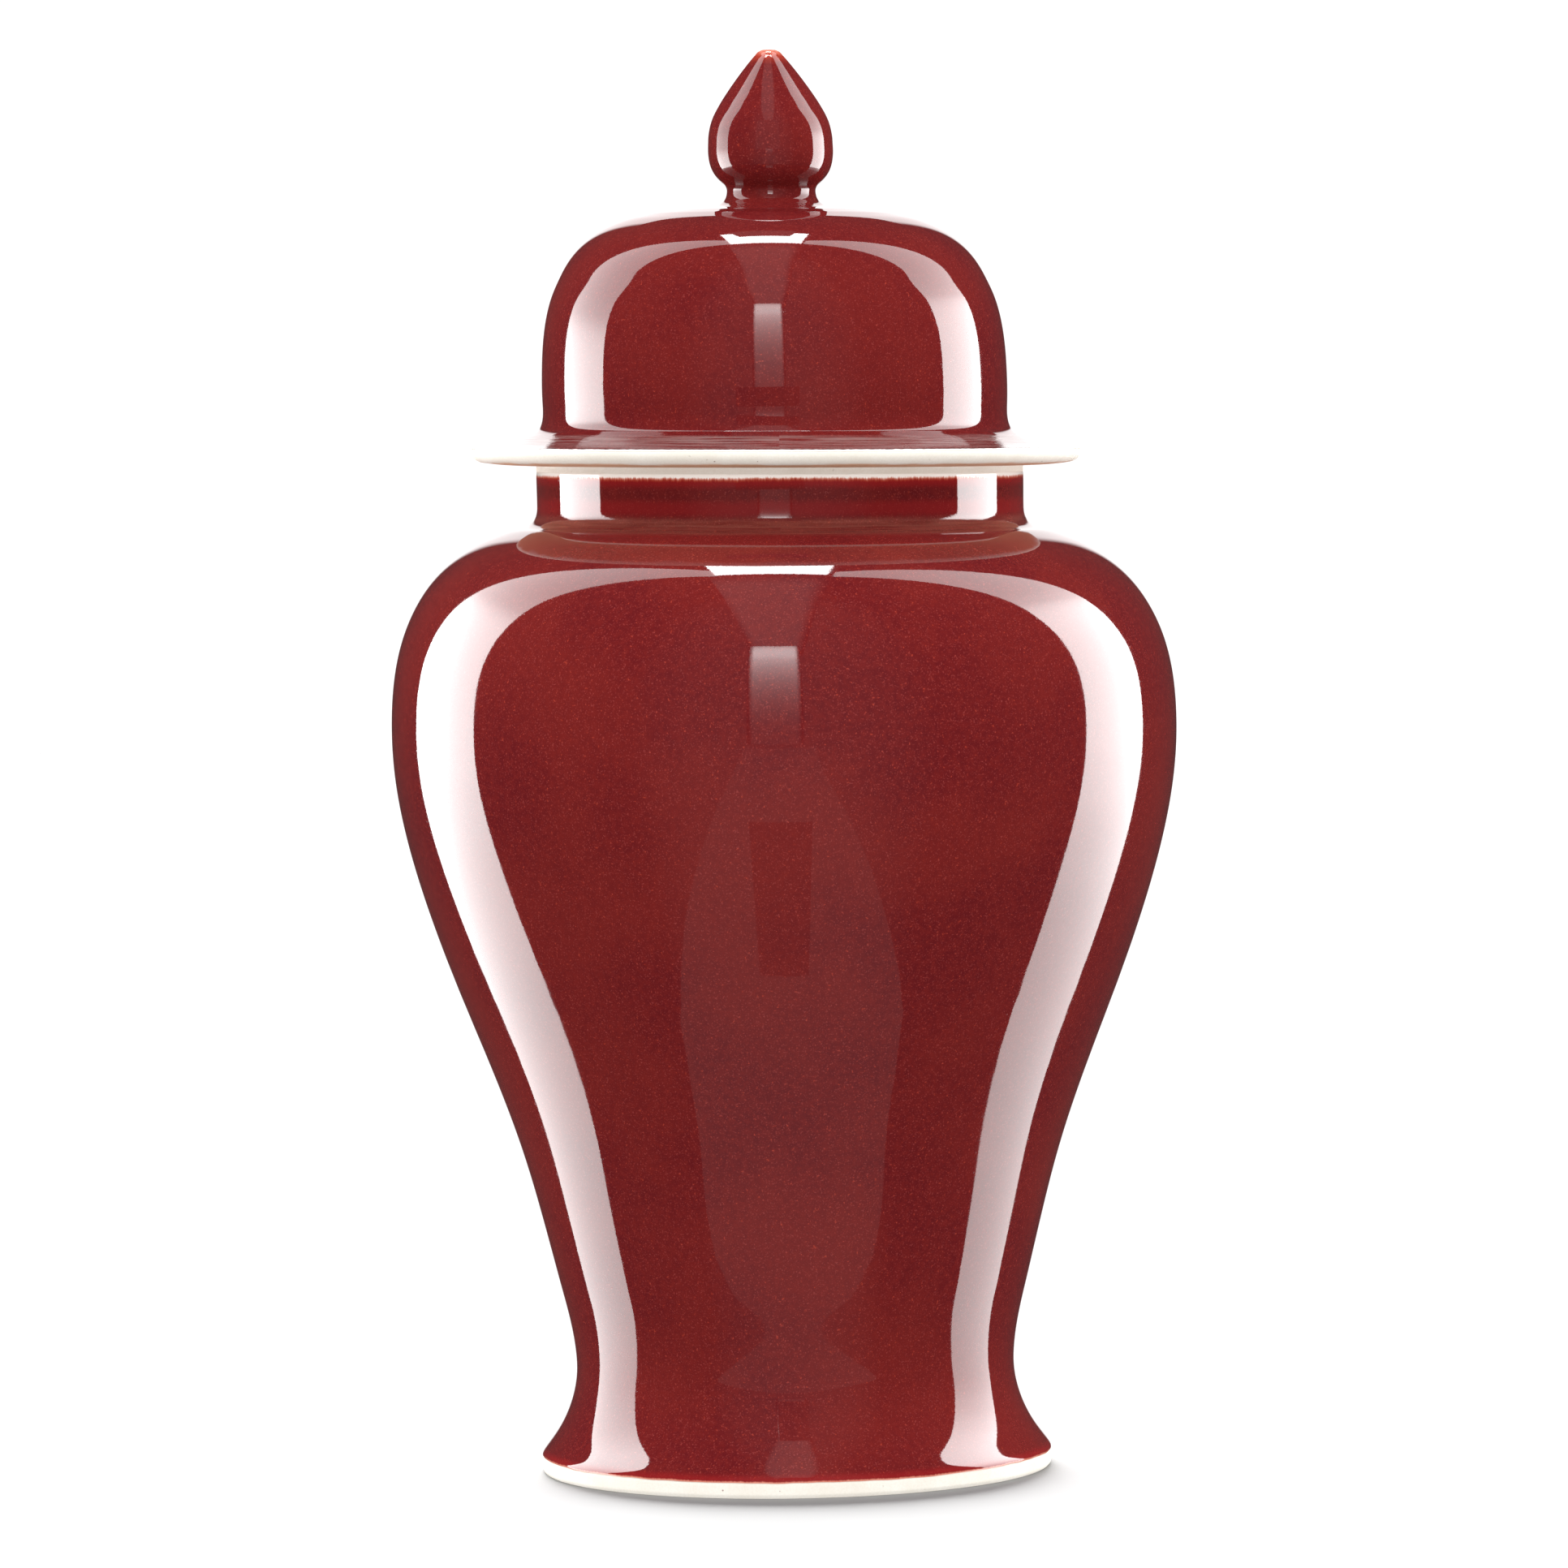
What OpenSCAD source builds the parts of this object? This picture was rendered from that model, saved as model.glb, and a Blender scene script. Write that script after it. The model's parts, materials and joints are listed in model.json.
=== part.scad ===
// Lidded baluster jar, the tall "temple jar" form of a ginger jar: a thrown stoneware jar with an
// oxblood glaze, and a brimmed, domed lid with a bud finial. Both are bodies of revolution about Z.
// The origin is the middle of the foot, on the table, and +Z is up.
// Every outline is a line of [radius, height] points that runs from the bottom upward.

/* [Foot] */
// Outer radius of the bare clay foot band
foot_r = 91.4; // [87:0.2:96]
// Height of the glaze line above the table
foot_band_h = 5.4; // [4:0.2:9]
// Radius of the recess that is turned under the base
recess_r = 76; // [72:0.5:82]
// Depth of that recess
recess_h = 7; // [5:0.5:9]
// Thickness of the jar's floor
floor_t = 9; // [7:0.5:12]

/* [Jar] */
// Radius at the waist, the narrowest place above the foot
waist_r = 78.5; // [74:0.1:82]
// Height of the waist
waist_z = 37.4; // [34:0.1:42]
// Radius of the belly, the widest place
belly_r = 140.25; // [132:0.25:148]
// Height of the belly
belly_z = 265.2; // [257:0.1:272]
// Radius where the shoulder turns up into the neck
shoulder_r = 89.2; // [88.6:0.1:92]
// Height where the shoulder turns up into the neck
shoulder_z = 337.3; // [332:0.1:338]
// Thickness of the jar's wall, glaze included
wall_t = 7; // [5:0.25:8.5]

/* [Neck] */
// Outer radius of the neck
neck_r = 87; // [85:0.1:88]
// Height of the foot of the neck, where the collar is joined on
neck_z = 343.4; // [342:0.1:346]
// Height of the glaze line on the neck
neck_glaze_z = 356.2; // [352:0.1:357]
// Height of the rim, which the lid rests on
rim_z = 359.5; // [359:0.1:364]
// Radius that rounds the rim's two corners
lip_round = 1.2; // [0.6:0.1:2]

/* [Lid] */
// Outer radius of the brim
brim_r = 108.6; // [102:0.2:114]
// Thickness of the brim at its edge
brim_t = 5.5; // [4.5:0.1:7]
// Radius of the wall of the dome
dome_r = 83; // [80:0.2:86]
// Height of the dome's wall above the rim, where the brim is joined on
dome_base_h = 17.4; // [16:0.1:20]
// Height of the crown above the rim
crown_h = 90.6; // [84:0.2:96]
// Thickness of the dome's wall, glaze included
lid_wall_t = 6.1; // [5:0.1:7]
// Outer radius of the seat ring that hangs inside the neck
seat_r = 77.5; // [74:0.1:78]
// Thickness of the seat ring
seat_t = 5; // [4:0.25:6]
// How far the seat ring reaches down into the neck
seat_h = 20; // [12:0.5:24]

/* [Finial] */
// Radius of the stem
stem_r = 15.9; // [13:0.1:18]
// Height of the top of the stem above the crown
stem_h = 7.1; // [6:0.1:9]
// Radius of the bud
bud_r = 22.4; // [20:0.1:25]
// Height of the bud's widest place above the top of the stem
bud_wide_h = 13.4; // [12:0.1:16]
// Height of the tip above the top of the stem
bud_h = 48.9; // [44:0.1:54]
// Radius of the bore up the stem, which lets steam out of the hollow bud in the kiln
stem_bore_r = 5; // [3.5:0.5:6]
// Radius of the vent hole through the crown
vent_r = 3; // [2:0.25:3.5]

/* [Glaze] */
// Thickness of the oxblood glaze outside
glaze_t = 0.6; // [0.4:0.1:0.9]
// Thickness of the clear glaze inside and under the base
lining_t = 0.5; // [0.4:0.1:0.7]

/* [Hidden] */
$fn = 96;

biscuit = [0.94, 0.91, 0.84];
oxblood = [0.45, 0.13, 0.12];
clear_glaze = [0.92, 0.91, 0.88];

// ---- Lines of points ----

// A cubic curve from p to q in equal steps, with q left out. It sets off along the vector leave and
// comes in along the vector arrive.
function curve(p, leave, arrive, q, steps) = [
    for (i = [0:steps - 1])
        let (t = i / steps, u = 1 - t)
            u^3 * p + 3 * u^2 * t * (p + leave) + 3 * u * t^2 * (q - arrive) + t^3 * q
];

// An arc about centre, from one angle to the other, both ends included.
function arc(centre, radius, from, to, steps = 4) = [
    for (i = [0:steps])
        let (angle = from + (to - from) * i / steps)
            centre + radius * [cos(angle), sin(angle)]
];

// A vector that rises by height and leans outward by lean for each unit of it.
function rise(lean, height) = height * [lean, 1];

function slice(line, first, last) = [for (i = [first:last]) line[i]];

function backward(line) = [for (i = [len(line) - 1:-1:0]) line[i]];

// The direction in which a line runs at its point i.
function heading(line, i) =
    let (run = line[min(i + 1, len(line) - 1)] - line[max(i - 1, 0)])
        run / norm(run);

// An upward line moved towards the axis by depth, square to itself. A point on the axis moves down.
function inset(line, depth) = [
    for (i = [0:len(line) - 1])
        let (way = line[i][0] == 0 ? [-1, 0] : heading(line, i))
            line[i] + depth * [-way[1], way[0]]
];

// The outline of a wall between an outer and an inner line, from one point number to another.
function wall(outer, inner, first, last) =
    concat(slice(outer, first, last), backward(slice(inner, first, last)));

module turned(outline) {
    rotate_extrude()
        polygon(outline);
}

// ---- The jar's outline, as the glaze shows it ----

flank_r = belly_r - waist_r;
flank_h = belly_z - waist_z;
ankle = [waist_r + 0.0863 * flank_r, waist_z + 0.1315 * flank_h];
ankle_lean = 0.249;
thigh = [waist_r + 0.5678 * flank_r, waist_z + 0.5445 * flank_h];
thigh_lean = 0.4;
chest = [belly_r - 0.201 * (belly_r - shoulder_r), belly_z + 0.6255 * (shoulder_z - belly_z)];
chest_lean = -0.59;

foot_top = [foot_r, foot_band_h];
foot_edge = [foot_r - 4.4, foot_band_h + 7.4];
flare_lean = -0.735;
waist = [waist_r, waist_z];
belly = [belly_r, belly_z];
shoulder = [shoulder_r, shoulder_z];
neck_foot = [neck_r, neck_z];
neck_top = [neck_r + 0.1, neck_glaze_z];

foot_roll = curve(foot_top, rise(0, 2), rise(flare_lean, 4.5), foot_edge, 6);
flare = curve(foot_edge, rise(flare_lean, 9), rise(0, 5.9), waist, 8);
shin = curve(waist, rise(0, 10.6), rise(ankle_lean, 6.8), ankle, 6);
lower_flank = curve(ankle, rise(ankle_lean, 42.5), rise(thigh_lean, 44), thigh, 12);
upper_flank = curve(thigh, rise(thigh_lean, 54), rise(0, 22.5), belly, 14);
breast = curve(belly, rise(0, 19.4), rise(chest_lean, 12), chest, 9);
top_shoulder = curve(chest, rise(chest_lean, 12.9), rise(-4.9, 4.2), shoulder, 10);
neck_fillet = curve(shoulder, rise(-4.4, 0.25), rise(0, 3.9), neck_foot, 5);

body_skin = concat(
    foot_roll, flare, shin, lower_flank, upper_flank, breast, top_shoulder, neck_fillet,
    [neck_foot, neck_top]
);

// The point numbers at which the thrown sections are joined.
foot_i = len(foot_roll);
waist_i = len(foot_roll) + len(flare);
belly_i = waist_i + len(shin) + len(lower_flank) + len(upper_flank);
collar_i = len(body_skin) - 2;
neck_i = len(body_skin) - 1;

cavity_r = waist_r - wall_t;
floor_z = recess_h + floor_t;
foot_bevel = 1.2;

// The fired clay under the glaze, and the inside of the wall, which is plumb below the waist.
body_clay = inset(body_skin, glaze_t);
body_cavity = [
    for (i = [0:neck_i])
        i < waist_i ? [cavity_r, body_clay[i][1]] : inset(body_skin, wall_t)[i]
];
foot_join_z = body_clay[foot_i][1];

// ---- The lid's outline, as the glaze shows it ----

dome_base_z = rim_z + dome_base_h;
crown_z = rim_z + crown_h;
stem_z = crown_z + stem_h;
haunch = [dome_r - 5.6, dome_base_z + 0.625 * (crown_z - dome_base_z)];
haunch_lean = -0.48;
bud_neck = [0.79 * bud_r, stem_z + 0.611 * bud_h];

brim_top = [brim_r, rim_z + brim_t];
dome_foot = [dome_r + 2.4, dome_base_z - 6.2];
dome_base = [dome_r, dome_base_z];
dome_spring = [dome_r + 0.2, dome_base_z + 8.3];
crown = [stem_r + 6.6, crown_z];
stem_foot = [stem_r, crown_z + 5.2];
stem_top = [stem_r, stem_z];
bud_wide = [bud_r, stem_z + bud_wide_h];
bud_point = [3.8, stem_z + bud_h - 0.8];
bud_tip = [0, stem_z + bud_h];

brim = curve(brim_top, [-7.6, 0.2], [-5.6, 3.2], dome_foot, 8);
brim_fillet = curve(dome_foot, [-1.2, 0.6], [-0.1, 3.5], dome_base, 5);
dome_wall = curve(dome_spring, rise(0, 16), rise(haunch_lean, 9.4), haunch, 8);
dome_top = curve(haunch, rise(haunch_lean, 9.6), [-43.4, 0.2], crown, 14);
stem_fillet = curve(crown, [-3.4, 0.3], [0, 3], stem_foot, 5);
bud_cheek = curve(stem_top, [4.1, 3.2], rise(0, 7.3), bud_wide, 6);
bud_brow = curve(bud_wide, rise(0, 9.2), rise(-0.58, 4), bud_neck, 7);
bud_taper = curve(bud_neck, rise(-0.6, 5), rise(-1, 4), bud_point, 7);
bud_nib = curve(bud_point, [-0.8, 0.8], [-1.5, 0], bud_tip, 3);

lid_skin = concat(
    brim, brim_fillet, [dome_base], dome_wall, dome_top, stem_fillet, [stem_foot],
    bud_cheek, bud_brow, bud_taper, bud_nib, [bud_tip]
);

// The point numbers at which the lid's sections are joined.
dome_i = len(brim) + len(brim_fillet);
crown_i = dome_i + 1 + len(dome_wall) + len(dome_top);
stem_i = crown_i + len(stem_fillet) + 1;
tip_i = len(lid_skin) - 1;

lid_clay = inset(lid_skin, glaze_t);
lid_cavity = inset(lid_skin, lid_wall_t);
lid_lining = inset(lid_skin, lid_wall_t + lining_t);

seat_bore_r = seat_r - seat_t;
seat_round = 1.8;
bud_hollow_wide = [bud_r - glaze_t - 5, bud_wide[1]];
bud_hollow_top = [0, bud_tip[1] - 13];

// ---- The jar ----

module foot_ring() {
    color(biscuit)
        turned(concat(
            [[recess_r, 0], [foot_r - foot_bevel, 0], [foot_r, foot_bevel], foot_top],
            slice(body_clay, 0, foot_i),
            [[cavity_r, foot_join_z], [cavity_r, recess_h], [recess_r, recess_h]]
        ));
}

module floor_disc() {
    color(biscuit)
        translate([0, 0, recess_h])
            cylinder(h = floor_t, r = cavity_r);
}

module lower_body() {
    color(biscuit)
        turned(wall(body_clay, body_cavity, foot_i, belly_i));
}

module upper_body() {
    color(biscuit)
        turned(wall(body_clay, body_cavity, belly_i, collar_i));
}

// The collar ends in the bare lip, which stands as proud as the glaze below it.
module neck_collar() {
    lip_z = rim_z - lip_round;
    bore_r = body_cavity[neck_i][0];
    color(biscuit)
        turned(concat(
            slice(body_clay, collar_i, neck_i),
            [neck_top],
            arc([neck_top[0] - lip_round, lip_z], lip_round, 0, 90),
            arc([bore_r + lip_round, lip_z], lip_round, 90, 180),
            backward(slice(body_cavity, collar_i, neck_i))
        ));
}

module body_glaze() {
    color(oxblood)
        turned(wall(body_skin, body_clay, 0, neck_i));
}

// One coat over the floor and up the inside of the wall to the neck's glaze line.
module lining_glaze() {
    top_z = floor_z + lining_t;
    above_floor = [for (p = body_cavity) if (p[1] > top_z) p];
    coat = inset(above_floor, lining_t);
    color(clear_glaze)
        turned(concat(
            [[0, floor_z], [cavity_r, floor_z]],
            above_floor,
            backward(coat),
            [[cavity_r - lining_t, top_z], [0, top_z]]
        ));
}

module base_glaze() {
    color(clear_glaze)
        translate([0, 0, recess_h - lining_t])
            cylinder(h = lining_t, r = recess_r);
}

// ---- The lid ----

// The flat underside rests on the rim, and the brim's edge is bare clay up to the glaze.
module lid_flange() {
    under_r = brim_r - 4.2;
    edge = curve([under_r, rim_z], [3, 0.3], [-0.6, 2.3], lid_clay[0], 6);
    color(biscuit)
        turned(concat(
            [[seat_bore_r, rim_z]],
            edge,
            slice(lid_clay, 0, dome_i),
            [lid_cavity[dome_i]]
        ));
}

module lid_seat_ring() {
    low_z = rim_z - seat_h + seat_round;
    color(biscuit)
        turned(concat(
            [[seat_r, rim_z], [seat_bore_r, rim_z]],
            arc([seat_bore_r + seat_round, low_z], seat_round, 180, 270),
            arc([seat_r - seat_round, low_z], seat_round, 270, 360)
        ));
}

// The crown is closed except for the vent hole under the finial.
module lid_dome() {
    color(biscuit)
        turned(concat(
            slice(lid_clay, dome_i, crown_i),
            [[vent_r, lid_clay[crown_i][1]], [vent_r, lid_cavity[crown_i][1]]],
            backward(slice(lid_cavity, dome_i, crown_i))
        ));
}

module finial_stem() {
    color(biscuit)
        turned(concat(
            [[stem_bore_r, lid_clay[crown_i][1]]],
            slice(lid_clay, crown_i, stem_i),
            [[stem_bore_r, lid_clay[stem_i][1]]]
        ));
}

// The bud is thrown hollow and opens into the stem's bore.
module finial_bud() {
    mouth = [stem_bore_r, lid_clay[stem_i][1]];
    hollow = concat(
        curve(mouth, [6, 1.5], rise(0, 6), bud_hollow_wide, 6),
        curve(bud_hollow_wide, rise(0, 9), [-7, 0], bud_hollow_top, 8),
        [bud_hollow_top]
    );
    color(biscuit)
        turned(concat(slice(lid_clay, stem_i, tip_i), backward(hollow)));
}

module lid_glaze() {
    color(oxblood)
        turned(wall(lid_skin, lid_clay, 0, tip_i));
}

module lid_lining_glaze() {
    color(clear_glaze)
        turned(concat(
            slice(lid_cavity, dome_i, crown_i),
            [[vent_r, lid_cavity[crown_i][1]], [vent_r, lid_lining[crown_i][1]]],
            backward(slice(lid_lining, dome_i, crown_i))
        ));
}

foot_ring();
floor_disc();
lower_body();
upper_body();
neck_collar();
body_glaze();
lining_glaze();
base_glaze();
lid_flange();
lid_seat_ring();
lid_dome();
finial_stem();
finial_bud();
lid_glaze();
lid_lining_glaze();
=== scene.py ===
"""A lidded baluster jar in oxblood glaze: the fine pieces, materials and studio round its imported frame."""

import json
import math

import bpy
import numpy as np
from mathutils import Matrix, Vector

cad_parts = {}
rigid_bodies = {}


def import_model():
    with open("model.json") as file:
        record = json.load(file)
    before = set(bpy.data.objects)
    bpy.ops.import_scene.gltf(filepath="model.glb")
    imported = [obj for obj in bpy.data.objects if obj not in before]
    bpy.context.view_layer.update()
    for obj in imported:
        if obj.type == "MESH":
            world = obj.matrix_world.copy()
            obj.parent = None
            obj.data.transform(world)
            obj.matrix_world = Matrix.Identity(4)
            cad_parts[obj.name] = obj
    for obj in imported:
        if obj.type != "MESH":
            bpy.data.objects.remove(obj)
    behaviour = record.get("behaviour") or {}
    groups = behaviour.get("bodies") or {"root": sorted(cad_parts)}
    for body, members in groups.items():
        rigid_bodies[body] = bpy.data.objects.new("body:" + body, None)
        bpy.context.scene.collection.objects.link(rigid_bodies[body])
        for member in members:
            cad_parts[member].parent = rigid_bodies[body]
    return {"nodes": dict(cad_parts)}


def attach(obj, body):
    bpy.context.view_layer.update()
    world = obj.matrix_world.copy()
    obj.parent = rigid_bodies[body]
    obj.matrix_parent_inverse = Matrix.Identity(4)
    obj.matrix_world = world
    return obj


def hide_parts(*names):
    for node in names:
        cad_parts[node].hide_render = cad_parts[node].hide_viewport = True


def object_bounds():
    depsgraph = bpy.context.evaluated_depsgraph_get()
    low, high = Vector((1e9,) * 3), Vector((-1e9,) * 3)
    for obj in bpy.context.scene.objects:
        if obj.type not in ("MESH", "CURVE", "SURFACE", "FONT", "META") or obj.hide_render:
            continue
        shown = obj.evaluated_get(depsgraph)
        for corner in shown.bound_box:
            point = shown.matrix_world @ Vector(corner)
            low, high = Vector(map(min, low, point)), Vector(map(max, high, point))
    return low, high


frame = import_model()
cad_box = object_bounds()
scene = bpy.context.scene

MM = 0.001

# ---- fineness of the turned pieces ----
SEGMENTS = 320  # steps round the axis
INNER_SEGMENTS = 160  # steps round the axis of a piece that is hardly seen
FLATNESS = 0.004 * MM  # how far a chord of a section may leave its curve
SHORTEST, LONGEST = 0.25 * MM, 3.0 * MM  # steps along a section
CORNER = 22  # degrees of turn that make a corner of a section
RING_GAP = 0.02 * MM  # vertices closer than this in radius and height are on one ring

# ---- the hand-made look of the shapes ----
OVAL = 0.0016  # most that a radius shrinks, as a share of itself
WARP = math.radians(0.9)  # how far the top of the jar sagged out of level in the kiln
WARP_FROM, WARP_TO = 0.49, 0.68  # where the warp begins and where it is full, as shares of the height
LID_OFF = 1.3 * MM  # how far off centre the lid sits, within its play
BARE_SHARE = 0.42  # how deep bare clay lies below the face of the coat beside it, as a share of the coat
SINK = 0.06 * MM  # how far a coat's back reaches into the clay
FOOT_WAVE = 0.6 * MM  # most that the glaze line at the foot climbs
WAVE_REACH = 12 * MM  # how far up the coat that wave is felt
EDGE_ROLL = 1.3 * MM  # length over which a coat rounds off at its edge
THICKEST_COAT = 1.5 * MM  # no coat is as thick as this


# ---------------------------------------------------------------- sections

def vertices_of(mesh):
    """The mesh's vertices as an array of points."""
    flat = np.zeros(len(mesh.vertices) * 3)
    mesh.vertices.foreach_get("co", flat)
    return flat.reshape(-1, 3)


def rings_of(mesh):
    """The (radius, height) of each ring of vertices round the axis, and the pairs that edges join."""
    points = vertices_of(mesh)
    flat = np.column_stack([np.hypot(points[:, 0], points[:, 1]), points[:, 2]])
    cells, cell = np.unique(np.round(flat / RING_GAP).astype(int), axis=0, return_inverse=True)
    ring_of = {}
    count = 0
    for a, b in cells:
        near = [ring_of[a + i, b + j] for i in (-1, 0, 1) for j in (-1, 0, 1) if (a + i, b + j) in ring_of]
        ring_of[a, b] = near[0] if near else count
        count += not near
    ring = np.array([ring_of[a, b] for a, b in cells])[cell.ravel()]
    places = np.array([flat[ring == i].mean(0) for i in range(count)])
    edges = np.zeros(len(mesh.edges) * 2, int)
    mesh.edges.foreach_get("vertices", edges)
    pairs = ring[edges.reshape(-1, 2)]
    return places, np.unique(pairs[pairs[:, 0] != pairs[:, 1]], axis=0)


def section(node):
    """A CAD node's outline, counter-clockwise in (radius, height), and whether it is clear of the axis."""
    places, pairs = rings_of(frame["nodes"][node].data)
    links = [set() for _ in places]
    for a, b in pairs:
        links[a].add(int(b))
        links[b].add(int(a))
    ends = [i for i, joined in enumerate(links) if len(joined) == 1]
    walk = [min(ends, key=lambda i: places[i][1]) if ends else int(np.argmin(places[:, 1]))]
    while len(walk) < len(places):
        walk.append(min(links[walk[-1]] - set(walk)))
    line = places[walk]
    if ends:
        line = np.vstack([[0, line[0][1]], line, [0, line[-1][1]]])
        line = line[np.r_[True, np.hypot(*np.diff(line, axis=0).T) > RING_GAP]]
        line[[0, -1], 0] = 0
    r, z = line.T
    turn = np.sum(r * np.roll(z, -1) - z * np.roll(r, -1))
    return (line if turn > 0 else line[::-1]), not ends


def turns(line, closed):
    """How far the outline turns at each point, in degrees."""
    ring = np.vstack([line[-1:], line, line[:1]]) if closed else line
    heading = np.arctan2(*np.diff(ring, axis=0).T[::-1])
    turn = np.degrees((np.diff(heading) + math.pi) % (2 * math.pi) - math.pi)
    return turn if closed else np.r_[0, turn, 0]


def spline(points):
    """Closely spaced points along the smooth curve through these ones, level where it meets the axis."""
    given = points
    before, after = given[1:4][::-1] * [-1, 1], given[-4:-1][::-1] * [-1, 1]
    starts, ends = abs(given[0][0]) < RING_GAP, abs(given[-1][0]) < RING_GAP
    if len(given) > 4:
        given = np.vstack([before if starts else given[:0], given, after if ends else given[:0]])
    at = np.r_[0, np.cumsum(np.hypot(*np.diff(given, axis=0).T))]
    gap = np.diff(at)
    n = len(given)
    bend = np.zeros((n, 2))
    if n > 2:
        system = np.diag(np.full(n, 1.0))
        right = np.zeros((n, 2))
        for i in range(1, n - 1):
            system[i, i - 1 : i + 2] = gap[i - 1], 2 * (gap[i - 1] + gap[i]), gap[i]
            right[i] = 6 * ((given[i + 1] - given[i]) / gap[i] - (given[i] - given[i - 1]) / gap[i - 1])
        bend = np.linalg.solve(system, right)
    first = len(before) if starts and len(points) > 4 else 0
    low, high = at[first], at[first + len(points) - 1]
    t = np.linspace(low, high, max(4, int((high - low) / (0.1 * MM))))
    i = np.clip(np.searchsorted(at, t, side="right") - 1, 0, n - 2)
    h = gap[i][:, None]
    a = (at[i + 1] - t)[:, None] / h
    b = 1 - a
    curve = a * given[i] + b * given[i + 1]
    return curve + ((a**3 - a) * bend[i] + (b**3 - b) * bend[i + 1]) * h**2 / 6


def trimmed(curve, start, end):
    """The curve without its first and last lengths."""
    at = np.r_[0, np.cumsum(np.hypot(*np.diff(curve, axis=0).T))]
    inside = curve[(at > start) & (at < at[-1] - end)]
    ends = [[np.interp(s, at, curve[:, k]) for k in (0, 1)] for s in (start, at[-1] - end)]
    return np.vstack([ends[0], inside, ends[1]])


def thinned(curve):
    """The curve with only as many points as its bends need."""
    step = np.hypot(*np.diff(curve, axis=0).T)
    curve = curve[np.r_[True, step > 1e-9]]
    step = np.hypot(*np.diff(curve, axis=0).T)
    at = np.r_[0, np.cumsum(step)]
    heading = np.unwrap(np.arctan2(*np.diff(curve, axis=0).T[::-1]))
    bend = np.zeros(len(curve))
    bend[1:-1] = np.abs(np.diff(heading)) / (0.5 * (step[1:] + step[:-1]))
    width = max(1, int(0.4 * MM / max(step.mean(), 1e-6)))
    bend = np.convolve(np.pad(bend, width, mode="edge"), np.ones(2 * width + 1) / (2 * width + 1), "valid")
    spacing = np.clip(np.sqrt(8 * FLATNESS / np.maximum(bend, 1e-3)), SHORTEST, LONGEST)
    load = np.r_[0, np.cumsum(step / (0.5 * (spacing[1:] + spacing[:-1])))]
    wanted = np.linspace(0, load[-1], max(2, math.ceil(load[-1]) + 1))
    place = np.interp(wanted, load, at)
    return np.column_stack([np.interp(place, at, curve[:, 0]), np.interp(place, at, curve[:, 1])])


def rounding(before, after):
    """A short arc from the last point before a corner to the first one after it, in line with both sides."""
    a, b = before[-1], after[0]
    reach = 0.4 * np.hypot(*(b - a))
    out, back = a - before[-2], after[1] - b
    p = a + reach * out / np.hypot(*out)
    q = b - reach * back / np.hypot(*back)
    t = np.linspace(0, 1, 13)[1:-1, None]
    return (1 - t) ** 3 * a + 3 * t * (1 - t) ** 2 * p + 3 * t**2 * (1 - t) * q + t**3 * b


def smooth(line, closed, ease):
    """The outline with its smooth stretches as splines and its corners rounded off over the length ease."""
    bent = np.abs(turns(line, closed)) > CORNER
    if closed:
        line = np.roll(line, -int(np.argmax(bent)), axis=0)
        bent = np.roll(bent, -int(np.argmax(bent)))
        line = np.vstack([line, line[:1]])
        bent = np.r_[bent, True]
    bent[[0, -1]] = True
    marks = np.flatnonzero(bent)
    curves = [spline(line[a : b + 1]) for a, b in zip(marks[:-1], marks[1:])]
    lengths = [np.hypot(*np.diff(c, axis=0).T).sum() for c in curves]
    count = len(curves)
    eased = [min(ease, 0.45 * lengths[i - 1], 0.45 * lengths[i]) for i in range(count)] + [0]
    if closed:
        eased[-1] = eased[0]
    else:
        eased[0] = 0
    dense = [trimmed(curve, eased[i], eased[i + 1]) for i, curve in enumerate(curves)]
    parts = []
    for i, part in enumerate(dense):
        if i:
            parts.append(rounding(dense[i - 1], part))
        parts.append(thinned(part))
    if closed:
        parts.append(rounding(dense[-1], dense[0]))
    return np.vstack(parts)


# ---------------------------------------------------------------- turned meshes

def waves(angle, orders, seed):
    """A smooth wave round the axis between about -1 and 1, from sines that repeat each turn."""
    draw = np.random.default_rng(seed)
    total = sum(np.sin(k * angle + draw.uniform(0, 2 * math.pi)) / math.sqrt(k) for k in orders)
    return total / math.sqrt(sum(1 / k for k in orders))


def handmade(points, body):
    """The points of a body's piece, slightly out of round and out of level, as a thrown pot is."""
    angle = np.arctan2(points[..., 1], points[..., 0])
    climb = points[..., 2] / (cad_box[1].z - cad_box[0].z)
    drift = 0.5 + 0.28 * np.sin(2 * angle + 0.9 + 2.2 * climb) + 0.16 * np.sin(3 * angle + 4.1 - 3.0 * climb)
    moved = points.copy()
    moved[..., :2] *= (1 - OVAL * drift)[..., None]
    share = np.clip((climb - WARP_FROM) / (WARP_TO - WARP_FROM), 0, 1)
    moved[..., 2] -= math.tan(WARP) * share**2 * (3 - 2 * share) * moved[..., 0]
    if body == "lid":
        moved[..., 0] -= LID_OFF
    return moved


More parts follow.
